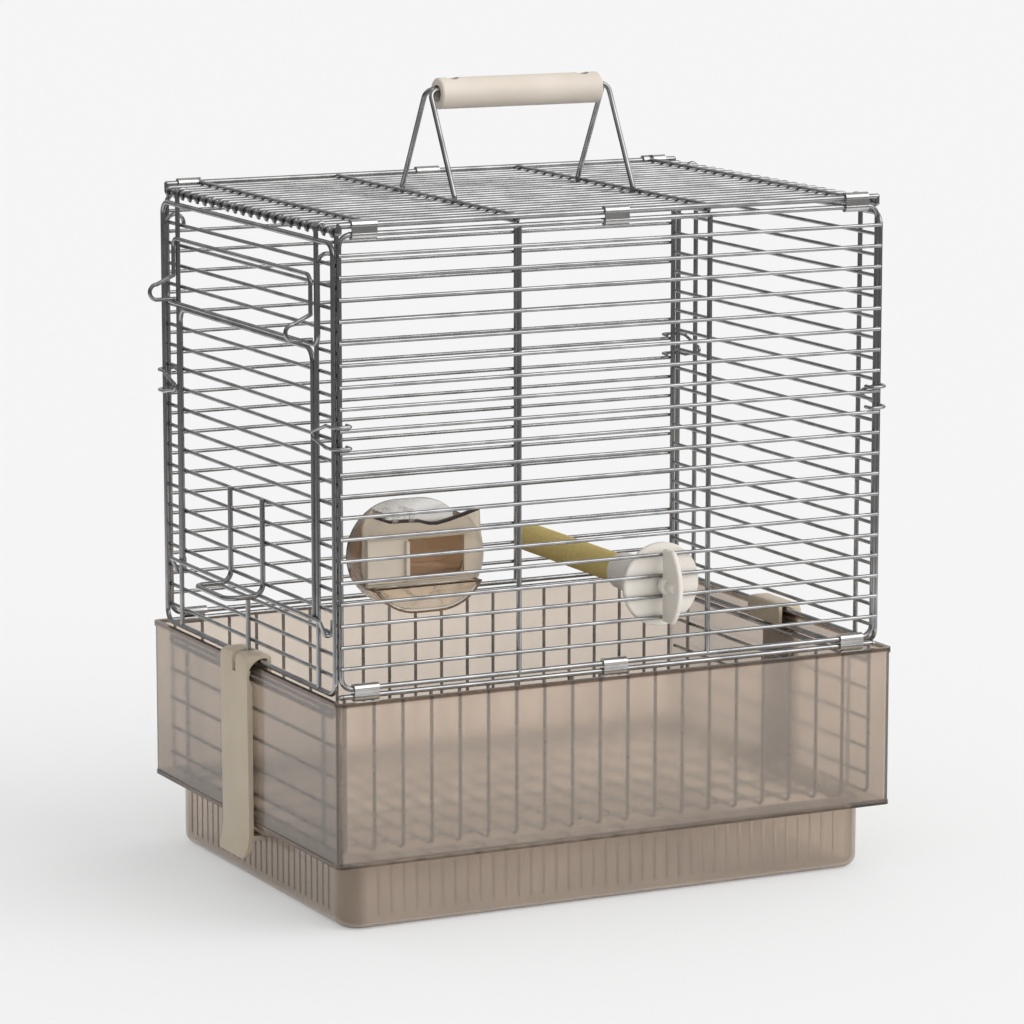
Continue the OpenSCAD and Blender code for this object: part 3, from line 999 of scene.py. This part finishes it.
    def _bowl(self, nose: float) -> None:
        """The bowl, open at the top, with a line round its front.

        Args:
            nose: how far forward it stands.
        """
        inside = self.back - self.skin
        bowl = prism("cup_bowl", self.at(self.oval(self.bowl_gap)), Axis.Y, nose, self.back)
        hollow = prism("hollow", self.at(self.oval(self.bowl_gap + self.bowl_skin)), Axis.Y,
                       nose + self.bowl_skin, inside)
        cut(bowl, [self._above(self.cut_height - self.hair), hollow])
        softened(bowl, 0.5)
        self._finish(bowl, "cup_bowl", "feeder_bowl")
        outer, inner = self.line_inset
        depth = (nose + step for step in self.line_depth)
        line = prism("cup_bowl_rim", self.at(self.oval(outer)), Axis.Y, *depth)
        hollow = prism("hollow", self.at(self.oval(inner)), Axis.Y, *self.line_span)
        cut(line, [self._above(self.cut_height - 2 * self.hair), hollow])
        softened(line, 0.2, 2)
        self._finish(line, "cup_rim", "feeder_bowl")

    def _brim(self, nose: float) -> None:
        """The line round the bowl's top.

        Args:
            nose: how far forward the bowl stands.
        """
        reach = self.spread + math.sqrt((self.radius - self.bowl_gap) ** 2 - self.cut_height ** 2)
        inner = reach - self.bowl_skin
        level = self.centre_z + self.cut_height
        outside = block(self.centre_x - reach, nose, self.centre_x + reach, self.back)
        inside = block(self.centre_x - inner, nose + self.bowl_skin,
                       self.centre_x + inner, self.back - self.skin)
        depth = (level + step for step in self.brim_depth)
        brim = prism("cup_brim", outside, Axis.Z, *depth)
        cut(brim, [prism("hollow", inside, Axis.Z, level - 5, level + 5)])
        softened(brim, 0.2, 2)
        self._finish(brim, "cup_rim", "feeder_bowl")


@dataclass
class WeldDabs:
    """Flattened dabs of metal where bars cross the frame wires, laid out by a node tree."""

    finishes: Finishes
    size: float = 1.15
    pitch: float = 12.0
    rail: float = 138.4
    bars: int = 20
    long_side: float = 123.3
    long_posts: tuple[float, ...] = (-169, -60, 60, 169)
    long_rise: float = 252.0
    end_side: float = 170.8
    end_posts: tuple[float, ...] = (-98.5, 98.5)
    end_rise: float = 246.3
    doorway: tuple[int, int] = (5, 17)
    least: Point = (0.8, 0.8, 0.7)
    most: Point = (1.15, 1.0, 1.1)
    seed: int = 7

    def tree(self) -> bpy.types.NodeTree:
        """Puts one uneven dab on each point it is given.

        Returns:
            The tree, with its Size, Seed and Finish inputs.
        """
        tree = bpy.data.node_groups.new("weld_dabs", "GeometryNodeTree")
        for name, kind in (("Geometry", "NodeSocketGeometry"), ("Size", "NodeSocketFloat"),
                           ("Seed", "NodeSocketInt"), ("Finish", "NodeSocketMaterial")):
            tree.interface.new_socket(name, in_out="INPUT", socket_type=kind)
        tree.interface.new_socket("Geometry", in_out="OUTPUT", socket_type="NodeSocketGeometry")
        web = Web(tree)
        given = web.add("NodeGroupInput").outputs
        ball = web.add("GeometryNodeMeshIcoSphere", None, {"Radius": given["Size"], "Subdivisions": 2})
        spread = web.add("FunctionNodeRandomValue", {"data_type": "FLOAT_VECTOR"},
                         {0: self.least, 1: self.most, "Seed": given["Seed"]})
        dabs = web.add("GeometryNodeInstanceOnPoints", None,
                       {"Points": given["Geometry"], "Instance": ball.outputs[0],
                        "Scale": spread.outputs[0]})
        real = web.add("GeometryNodeRealizeInstances", None, {0: dabs.outputs[0]})
        smooth = web.add("GeometryNodeSetShadeSmooth", None, {0: real.outputs[0]})
        coat = web.add("GeometryNodeSetMaterial", None, {0: smooth.outputs[0], "Material": given["Finish"]})
        web.add("NodeGroupOutput", None, {0: coat.outputs[0]})
        return tree

    def crossings(self) -> list[Point]:
        """Where the bars of the long and end panels cross their upright wires, in millimetres.

        Returns:
            The points; the left end has none beside its door.
        """
        points = []
        first, last = self.doorway
        for side in (-1, 1):
            for bar in range(1, self.bars + 1):
                height = self.rail + self.long_rise - self.pitch * bar
                points += [(x, side * self.long_side, height) for x in self.long_posts]
                height = self.rail + self.end_rise - self.pitch * bar
                if side > 0 or bar < first or bar > last:
                    points += [(side * self.end_side, y, height) for y in self.end_posts]
        return points

    def build(self) -> None:
        """Makes all the dabs on the fixed cage."""
        mesh = bpy.data.meshes.new("weld_points")
        mesh.from_pydata([tuple(MM * part for part in point) for point in self.crossings()], [], [])
        obj = link(bpy.data.objects.new("weld_dabs", mesh))
        modifier = obj.modifiers.new("dabs", "NODES")
        modifier.node_group = self.tree()
        given = {"Size": self.size * MM, "Seed": self.seed, "Finish": self.finishes.made["zinc_wire"]}
        for item in modifier.node_group.interface.items_tree:
            if item.item_type == "SOCKET" and item.in_out == "INPUT" and item.name in given:
                modifier[item.identifier] = given[item.name]
        baked(obj)
        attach(obj, "carrier")
        log.info("%d weld dabs, %d faces", len(self.crossings()), len(obj.data.polygons))


@dataclass
class Studio:
    """Pale floor, soft light and the camera. Its lengths are in metres, its angles in degrees."""

    floor_half: float = 30.0
    floor_drop: float = 0.0003
    floor_albedo: float = 0.905
    lift: float = 0.42
    facing: float = 26.5
    paper_front: Span = (-0.6, -0.9)
    paper_side: Span = (0.9, 1.3)
    dark_albedo: float = 0.1
    darkened: float = 0.9
    room_light: float = 0.74
    room_slant: float = 0.48
    lighter_towards: Point = (0.7, -0.5, 0.3)
    band_ahead: Span = (0.8, 0.4)
    band_height: Span = (0.6, 0.3)
    band_dark: float = 0.8
    ceiling_from: Span = (0.3, 0.65)
    ceiling_dark: float = 0.5
    key_turn: Point = (58.0, 0.0, 36.0)
    key_strength: float = 1.1
    key_spread: float = 55.0
    camera_at: Point = (-1.2002, -2.4012, 0.6773)
    camera_tilt: float = 80.03
    camera_turn: float = -26.49
    lens: float = 163.61

    def build(self) -> None:
        """Makes the floor, the light and the camera."""
        self._floor()
        self._world()
        self._key_light()
        self._camera()

    def _ahead(self, x: Signal, y: Signal) -> Signal:
        """How far away a place or a direction is, along the camera's heading."""
        turn = math.radians(self.facing)
        return x * math.sin(turn) + y * math.cos(turn)

    def _across(self, x: Signal, y: Signal) -> Signal:
        """How far a place is to either side of the camera's heading."""
        turn = math.radians(self.facing)
        return abs(x * math.cos(turn) - y * math.sin(turn))

    def _floor(self) -> None:
        """A wide pale floor; shiny pieces see it darker beyond the paper's edge."""
        far = self.floor_half
        corners = [(a, b, 0) for a, b in block(-far, -far, far, far)]
        mesh = bpy.data.meshes.new("floor")
        mesh.from_pydata(corners, [], [(0, 1, 2, 3)])
        floor = link(bpy.data.objects.new("floor", mesh))
        material = bpy.data.materials.new("pale_floor")
        material.use_nodes = True
        web = Web(material.node_tree)
        tone = (self.floor_albedo,) * 3
        matt = web.add("ShaderNodeBsdfDiffuse", None, {"Color": tone})
        glow = web.add("ShaderNodeEmission", None, {"Color": tone, "Strength": 1.0})
        dark = web.add("ShaderNodeBsdfDiffuse", None, {"Color": (self.dark_albedo,) * 3})
        rays = web.add("ShaderNodeLightPath")
        seen = web.signal(rays, "Is Camera Ray")
        for kind in ("Is Glossy Ray", "Is Transmission Ray"):
            seen = seen.most(web.signal(rays, kind))
        paper = web.add("ShaderNodeMixShader", None,
                        {0: seen * self.lift, 1: matt.outputs[0], 2: glow.outputs[0]})
        x, y, _ = web.split(web.place())
        outside = self._ahead(x, y).ramp(*self.paper_front).most(self._across(x, y).ramp(*self.paper_side))
        beyond = outside * web.signal(rays, "Is Glossy Ray")
        surface = web.add("ShaderNodeMixShader", None,
                          {0: beyond * self.darkened, 1: paper.outputs[0], 2: dark.outputs[0]})
        web.add("ShaderNodeOutputMaterial", None, {"Surface": surface.outputs[0]})
        mesh.materials.append(material)
        floor.location.z = -self.floor_drop

    def _world(self) -> None:
        """White walls, lighter to the right.

        A low dark band on the camera's side gives upright wire its dark edges, and a dimmer
        ceiling keeps the flat top's wires grey.
        """
        world = bpy.data.worlds.new("studio")
        bpy.context.scene.world = world
        world.use_nodes = True
        web = Web(world.node_tree)
        x, y, z = web.split(web.add("ShaderNodeTexCoord").outputs["Generated"])
        band = self._ahead(x, y).ramp(*self.band_ahead) * abs(z).ramp(*self.band_height)
        ceiling = z.ramp(*self.ceiling_from)
        dimmer = (band * self.band_dark).most(ceiling * self.ceiling_dark)
        rays = web.add("ShaderNodeLightPath")
        east, north, up = self.lighter_towards
        wall = self.room_light + (x * east + y * north + z * up) * self.room_slant
        level = wall * (1 - dimmer * web.signal(rays, "Is Glossy Ray"))
        back = web.add("ShaderNodeBackground", None, {"Color": (1.0, 1.0, 1.0), "Strength": level})
        web.add("ShaderNodeOutputWorld", None, {"Surface": back.outputs[0]})

    def _key_light(self) -> None:
        """A broad, distant lamp from the upper right."""
        lamp = bpy.data.lights.new("key", "SUN")
        lamp.energy = self.key_strength
        lamp.angle = math.radians(self.key_spread)
        obj = link(bpy.data.objects.new("key", lamp))
        obj.rotation_euler = [math.radians(part) for part in self.key_turn]

    def _camera(self) -> None:
        """The camera where the photo was taken from."""
        data = bpy.data.cameras.new("camera")
        data.lens = self.lens
        data.sensor_width = 36.0
        data.clip_end = 100.0
        camera = link(bpy.data.objects.new("camera", data))
        camera.location = self.camera_at
        camera.rotation_euler = (math.radians(self.camera_tilt), 0.0, math.radians(self.camera_turn))
        bpy.context.scene.camera = camera


def main() -> None:
    """Builds everything in order."""
    logging.basicConfig(level=logging.INFO)
    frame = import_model()
    bowl_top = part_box("feeder_bowl")[1].z
    finishes = Finishes(cup_turn=bowl_top + 0.030)
    finishes.build()
    CarriedNodes(frame, finishes).dress()
    for node in ("left_latch", "right_latch"):
        SideLatch(node, finishes).build()
    PerchNut(finishes).build()
    SeedCup(finishes).build()
    WeldDabs(finishes).build()
    Studio().build()
    bpy.context.scene.view_settings.view_transform = "Standard"


if __name__ == "__main__":
    main()
